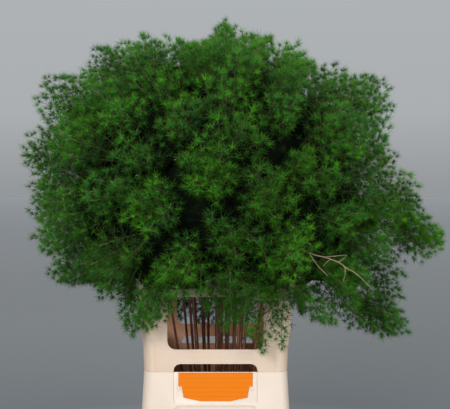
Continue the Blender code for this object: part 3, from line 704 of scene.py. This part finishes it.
def grow_branch(growth, start, bend, tip, radii, depths):
    """A three-sided branch on a quadratic curve drawn towards the bend, kept clear of the collar."""
    t = np.linspace(0, 1, BRANCH_RINGS)[:, None]
    path = (1 - t) ** 2 * start + 2 * t * (1 - t) * bend + t**2 * tip
    path[1:] = clear_of_collar(path[1:], BRANCH_CLEAR)
    points, triangles = tube(path, np.linspace(*radii, BRANCH_RINGS), 3)
    depth = np.append(np.repeat(np.linspace(*depths, BRANCH_RINGS), 3), depths)
    growth.grow(points, triangles, 1, depth=depth)


def grow_spray(growth, start, bend, tip, half, long, tone, rng):
    """One twig to its tip, on a quadratic curve, whose last stretch carries tufts on side twigs.

    The tufts follow the golden angle round the twig. The side twigs grow longer away from its tip, as one
    less a falling exponential of the distance, and each is a thin pyramid from the twig to its tuft.
    """
    grow_branch(growth, start, bend, tip, SPRAY_RADII, (0.3, 1.0))
    back = long * (np.arange(TUFTS) / TUFTS) ** 0.85
    share = 1 - back[:, None] / max(2 * np.linalg.norm(tip - bend), long)
    on = (1 - share) ** 2 * start + 2 * share * (1 - share) * bend + share**2 * tip
    heading = unit(2 * (1 - share) * (bend - start) + 2 * share * (tip - bend))
    u, v = across(heading)
    turn = (rng.uniform(0, 2 * pi) + np.arange(TUFTS) * pi * (3 - sqrt(5)))[:, None]
    spoke = np.cos(turn) * u + np.sin(turn) * v
    out = half * (1 - np.exp(-back / FILLING_OUT)) * rng.uniform(0.5, 1.2, TUFTS)
    at = on + out[:, None] * (spoke + 0.25 * heading)
    at[0] = tip
    at = clear_of_collar(at, TUFT_CLEAR)
    axes = unit(spoke * np.minimum(out / FACING_OUT, 1.0)[:, None] + 0.8 * heading + (0, 0, 0.25)
                + rng.normal(0, 0.15, (TUFTS, 3)))
    foot = clear_of_collar(on - 0.25 * out[:, None] * heading, BRANCH_CLEAR)
    trio = (u, -0.5 * u + 0.87 * v, -0.5 * u - 0.87 * v)
    twigs = np.stack((*[foot + SIDE_TWIG_RADIUS * beside for beside in trio], at), axis=1)
    corners = np.array([(0, 2, 1), (0, 1, 3), (1, 2, 3), (2, 0, 3)])
    growth.grow(twigs, corners[None] + 4 * np.arange(TUFTS)[:, None, None], 1, depth=0.8)
    # each tuft's depth is less further back from the spray's tip, and it sets how much painted shade the tuft
    # gets
    depth = (1 - back / long * 0.9) * rng.uniform(0.8, 1.0, TUFTS)
    size = NEEDLE_LONG * rng.uniform(0.8, 1.12, TUFTS)
    tones = tone + rng.normal(0, 0.1, TUFTS)
    outer = TUFTS - INNER_TUFTS
    for hub, part in ((TWENTY, slice(0, outer)), (EIGHT, slice(outer, TUFTS))):
        grow_tufts(growth, hub, at[part], axes[part], size[part], tones[part], depth[part], rng)


def grow_inside(growth, plan, others, fork):
    """The painted shade inside: a dark dome over the frond's cone at a share of the reach, closed at the
    fork.

    The cone's rim lies halfway to the nearest other frond on each spoke. The share falls by the square of
    the distance from the cone's axis, and the product of a sine and a cosine dimples the dome.
    """
    towards = plan["towards"]
    u, v = across(towards)
    angles = 2 * pi * np.arange(INSIDE_SPOKES) / INSIDE_SPOKES
    spokes = np.cos(angles)[:, None] * u + np.sin(angles)[:, None] * v
    ahead = spokes @ others.T
    edge = np.where(ahead > 1e-6, (1 - others @ towards) / np.maximum(ahead, 1e-6), np.inf).min(axis=1)
    rings = []
    for share in INSIDE_RINGS:
        aims = unit(towards + spokes * (share * edge)[:, None])
        dimples = 1 + INSIDE_DIMPLES * np.sin(9 * angles + 14 * share) * np.cos(31 * share + 5 * angles)
        dome = INSIDE_REACH + (INSIDE_RIM_REACH - INSIDE_REACH) * share**2
        rings.append(over_collar(CROWN + (reach(aims) * dome * dimples)[:, None] * aims))
    points = np.vstack((*rings, CROWN + reach(towards) * INSIDE_REACH * towards, fork))
    k = np.arange(INSIDE_SPOKES)
    after = (k + 1) % INSIDE_SPOKES
    faces = []
    for level in range(len(rings) - 1):
        low, high = level * INSIDE_SPOKES, (level + 1) * INSIDE_SPOKES
        faces.append(np.stack((low + k, low + after, high + after), 1))
        faces.append(np.stack((low + k, high + after, high + k), 1))
    last = (len(rings) - 1) * INSIDE_SPOKES
    top, foot = np.full(INSIDE_SPOKES, len(points) - 2), np.full(INSIDE_SPOKES, len(points) - 1)
    faces.append(np.stack((last + k, last + after, top), 1))
    faces.append(np.stack((after, k, foot), 1))
    # the dome takes the third finish, the almost black painted shade
    growth.grow(points, np.vstack(faces), 2)


def make_frond(number, plan, clumps, sprays, others, finishes, rng):
    """One frond: its stalk, its dark dome of painted shade inside, and a branch to each of its clumps, which
    divides into sprays.

    A clump is a direction and a tone. A spray is the number of its clump, the direction of its tip and its
    reach.
    """
    growth = Growth()
    fork = plan["route"][-1]
    stalk = plan["route"][plan["split"]:]
    stalk = np.vstack((stalk[0] + unit(stalk[1] - stalk[0]) * SOLID_GAP, stalk[1:]))
    radii = np.linspace(STEM_RADIUS_TOP, STALK_RADIUS_TOP, len(stalk))
    points, triangles = tube(stalk, radii, STEM_SIDES)
    growth.grow(points, triangles, 1, depth=0.35)
    grow_inside(growth, plan, others, fork)
    bases = {}
    for clump, (towards, _) in clumps.items():
        base = CROWN + CLUMP_BASE * reach(towards) * towards
        bases[clump] = clear_of_collar(base[None], BASE_CLEAR)[0]
        bend = 0.5 * (fork + bases[clump]) + 0.02 * plan["towards"]
        grow_branch(growth, fork, bend, bases[clump], BRANCH_RADII, (0.1, 0.3))
    for clump, aim, far in sprays:
        towards, tone = clumps[clump]
        tip = CROWN + (far - NEEDLE_LONG * 0.5) * aim
        bend = CROWN + SPRAY_BEND * far * unit(0.75 * aim + 0.25 * towards)
        half = SPRAY_HALF * rng.uniform(0.85, 1.15)
        grow_spray(growth, bases[clump], bend, tip, half, SPRAY_LONG, tone + rng.normal(0, 0.07), rng)
    for x, y, owner, behind in HANGING:
        if owner == number:
            clear = COLLAR_HALF[1] + rng.uniform(*HANGING_CLEAR)
            bend = (x + rng.uniform(-HANGING_SWAY, HANGING_SWAY), y - HANGING_DROP)
            tip, above = seen_at(((x, y), bend), clear if behind else -clear)
            grow_spray(growth, fork, above, tip, HANGING_HALF, HANGING_LONG, HANGING_TONE, rng)
    growth.piece(f"green_frond_{number:02d}", finishes, f"frond_{number:02d}")


def make_fronds(plans, finishes):
    """Lays out the clumps and the sprays of the whole crown and shares them out.

    A spray goes to the nearest clump, and a clump to the frond whose direction lies nearest. The clumps that
    lie nearest to a bare direction, under the lowest fronds, are left out.
    """
    rng = np.random.default_rng(SEED)
    lobes = np.array([direction(azimuth, elevation) for azimuth, elevation, _, _ in LOBES])
    clumps = np.vstack((spread_aims(CLUMPS, CLUMP_NUDGE, rng), lobes))
    tone = rng.normal(TONE_MIDDLE, TONE_SPREAD, len(clumps)).clip(0.2, 0.75)
    size = rng.uniform(CLUMP_LEAST, CLUMP_MOST, len(clumps))
    size[-len(lobes):] = [larger for _, _, _, larger in LOBES]
    crowd = np.repeat(lobes, [count for _, _, count, _ in LOBES], axis=0)
    aims = spread_aims(SPRAYS, SPRAY_NUDGE, rng)
    aims = np.vstack((aims, unit(crowd + rng.normal(0, LOBE_SPREAD, crowd.shape))))
    nearness = aims @ clumps.T
    home = nearness.argmax(axis=1)
    apart = 2 * (1 - nearness.max(axis=1))
    aims = unit(aims + PULL * (clumps[home] - aims))
    far = reach(aims) * size[home] * (1 - SINK * apart).clip(SINK_TO) * rng.uniform(TIP_LEAST, 1.0, len(aims))
    far *= 1 + FULLER_RIGHT * aims[:, 0].clip(0) - FLATTER_BACK * aims[:, 1].clip(0)
    far = np.minimum(within_outline(aims, far), WIDEST / aims[:, 0].clip(1e-3))
    towards = np.array([plan["towards"] for plan in plans])
    bare = np.array([direction(plan["azimuth"], BARE_BELOW) for plan in plans[-RINGS[-1][1]:]])
    owner = np.argmax(clumps @ np.vstack((towards, bare)).T, axis=1)
    for index, plan in enumerate(plans):
        others = np.vstack((np.delete(towards, index, axis=0), bare))
        own = {clump: (clumps[clump], tone[clump]) for clump in np.flatnonzero(owner == index)}
        sprays = [(home[k], aims[k], far[k]) for k in np.flatnonzero(owner[home] == index)]
        make_frond(index + 1, plan, own, sprays, others, finishes, np.random.default_rng(SEED + 1 + index))


# Bare stems and the bare twig


def stem_mesh(name, centres, radii, grain_scale, shift, finish):
    """A tube with a grain: the place round it and along it, by which the bark's streaks are laid."""
    along = np.concatenate(([0.0], np.cumsum(np.linalg.norm(np.diff(centres, axis=0), axis=1))))
    points, triangles = tube(centres, radii, STEM_SIDES)
    mesh = mesh_of(name, points, triangles, [finish])
    around = 2 * pi * np.append(np.tile(np.arange(STEM_SIDES) / STEM_SIDES, len(centres)), (0, 0))
    up = np.append(np.repeat(along, STEM_SIDES), (along[0], along[-1])) * grain_scale + shift
    grain = np.stack((np.cos(around) * GRAIN_ROUND, np.sin(around) * GRAIN_ROUND, up), axis=1)
    made = mesh.attributes.new("grain", "FLOAT_VECTOR", "POINT")
    made.data.foreach_set("vector", grain.astype(np.float32).ravel())
    return mesh


def make_stem(number, plan, finish):
    """A tube along the stem's route that tapers, and above the water swells at its nodes.

    The twelfth power of a cosine of the length along the stem gives the swelling.
    """
    rng = np.random.default_rng(100 + number)
    route = plan["route"][:plan["split"] + 1]
    steps = np.linspace(0, len(route) - 1, STEM_RINGS)
    centres = np.stack([np.interp(steps, np.arange(len(route)), route[:, axis]) for axis in range(3)], axis=1)
    along = np.concatenate(([0.0], np.cumsum(np.linalg.norm(np.diff(centres, axis=0), axis=1))))
    taper = np.interp(along, (0, along[-1]), (STEM_RADIUS_FOOT, STEM_RADIUS_TOP))
    nodes = np.cos(2 * pi * (along / NODE_WAVE + rng.uniform())) ** 12
    radii = taper * BARK_SLIMMER * (1 + NODE_SWELL * nodes * (along > WATER_TOP))
    mesh = stem_mesh(f"bare_stem_{number:02d}", centres, radii, STEM_GRAIN, number * GRAIN_STEP, finish)
    show(mesh, f"stem_{number:02d}")


def make_bare_twig(finish):
    """Dry twigs that have lost their needles and stand just proud of the green on the right."""
    for index, pixels in enumerate(BARE_TWIG):
        depth = np.linspace(SIDE_FOOT_Y if index else TWIG_FOOT_Y, TWIG_TIP_Y, len(pixels))
        centres = np.array([seen_at([pixel], y)[0] for pixel, y in zip(pixels, depth)])
        route = smooth_route(centres, 5)
        radii = np.linspace(*TWIG_RADII, len(route)) * (SIDE_TWIG_SHARE if index else 1.0)
        show(stem_mesh(f"bare_twig_{index}", route, radii, TWIG_GRAIN, index, finish))


# Container


def finer_copy(name, node, finish, bevel):
    """A copy of a solid with its loose triangles joined and its sharp edges rounded, as from a mould."""
    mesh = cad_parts[node].data.copy()
    mesh.name = name
    whole = bmesh.new()
    whole.from_mesh(mesh)
    bmesh.ops.remove_doubles(whole, verts=whole.verts, dist=1e-5)
    bmesh.ops.dissolve_limit(whole, angle_limit=radians(FLAT_WITHIN), verts=whole.verts, edges=whole.edges)
    whole.to_mesh(mesh)
    whole.free()
    mesh.materials.clear()
    mesh.materials.append(finish)
    mesh.shade_smooth()
    mesh.set_sharp_from_angle(angle=radians(SHARP_FROM))
    made = show(mesh, node)
    step = made.modifiers.new("moulded edge", "BEVEL")
    step.width = bevel
    step.segments = 3
    step.limit_method = "ANGLE"
    step.angle_limit = radians(SHARP_FROM)
    step.harden_normals = True


# Stage, lights and camera


def make_stage():
    """A wide round floor, pale under the object and greyer far off, and a grey surround, lighter above."""
    made, tree = new_material("studio floor")
    place = add(tree, "ShaderNodeTexCoord", "Object")
    far = add(tree, "ShaderNodeVectorMath", "Value", {"operation": "LENGTH"}, in0=place)
    more = add(tree, "ShaderNodeMath", settings={"operation": "ADD"}, in0=far, in1=FLOOR_HALFWAY)
    share = add(tree, "ShaderNodeMath", settings={"operation": "DIVIDE"}, in0=far, in1=more)
    tone = add(tree, "ShaderNodeValToRGB", stops=FLOOR_TONES, Fac=share)
    shader = add(tree, "ShaderNodeBsdfPrincipled", Base_Color=tone, Roughness=0.9)
    add(tree, "ShaderNodeOutputMaterial", Surface=shader)
    k = np.arange(FLOOR_SIDES)
    angles = 2 * pi * k / FLOOR_SIDES
    ring = FLOOR_RADIUS * np.stack((np.cos(angles), np.sin(angles), 0 * angles), 1)
    fan = np.stack((k, (k + 1) % FLOOR_SIDES, 0 * k + FLOOR_SIDES), 1)
    disc = mesh_of("studio_floor", np.vstack((ring, (0, 0, 0))), fan, [made])
    floor = bpy.data.objects.new("studio_floor", disc)
    bpy.context.scene.collection.objects.link(floor)
    floor.location.z = -FLOOR_DROP
    world = bpy.data.worlds.new("grey surround")
    world.use_nodes = True
    bpy.context.scene.world = world
    tree = world.node_tree
    tree.nodes.clear()
    heading = add(tree, "ShaderNodeTexCoord", "Generated")
    up = add(tree, "ShaderNodeSeparateXYZ", "Z", Vector=heading)
    share = add(tree, "ShaderNodeMapRange", in0=up, in1=SKY_LOW, in2=SKY_HIGH)
    tone = add(tree, "ShaderNodeValToRGB", stops=SKY_TONES, Fac=share)
    sky = add(tree, "ShaderNodeBackground", Color=tone, Strength=1.0)
    add(tree, "ShaderNodeOutputWorld", Surface=sky)


def make_light(name, at, to, wide, watts):
    """A round soft lamp of this width and power, turned from its place towards a point."""
    lamp = bpy.data.lights.new(name, "AREA")
    lamp.shape = "DISK"
    lamp.size = wide
    lamp.energy = watts
    made = bpy.data.objects.new(name, lamp)
    bpy.context.scene.collection.objects.link(made)
    made.location = at
    made.rotation_euler = Vector(np.subtract(to, at)).to_track_quat("-Z", "Y").to_euler()


def make_camera():
    """The camera that sees the object as the photograph does, dipped a little below the level."""
    lens = bpy.data.cameras.new("photograph")
    lens.sensor_width = SENSOR
    lens.lens = LENS
    made = bpy.data.objects.new("photograph", lens)
    bpy.context.scene.collection.objects.link(made)
    made.location = CAMERA_AT
    made.rotation_euler = (radians(90 - CAMERA_DIPS), 0, 0)
    bpy.context.scene.camera = made


bpy.context.scene.view_settings.view_transform = "Standard"
bpy.context.scene.view_settings.look = "None"
make_camera()
make_stage()
for lamp in LAMPS:
    make_light(*lamp)

cream = plastic_material("moulded cream polypropylene", "#cec0b3", "#cabaaa", "#baa793")
collar_cream = plastic_material("moulded collar polypropylene", "#c5b2a0", "#c0ab97", "#ab927b")
bark = bark_material("brown bark", ("#3c1c13", "#74432f", "#ad8063", "#dcc0a2"), "#4a2418")
dry = bark_material("dry tan bark", ("#77644c", "#98826a", "#b5a084", "#cdbb9f"), "#76604a")
finer_copy("flower_bucket", "bucket", cream, MOULDED_EDGE)
finer_copy("bucket_collar", "collar", collar_cream, COLLAR_EDGE)
for node, finish in (("label_card", card_material()), ("water", water_material())):
    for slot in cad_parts[node].material_slots:
        slot.material = finish
plans = plan_stems()
for number, plan in enumerate(plans, 1):
    make_stem(number, plan, bark)
# the third finish is the painted shade of the dark domes inside the fronds
make_fronds(plans, [needle_material(), twig_material(), painted_shade_core_material()])
make_bare_twig(dry)
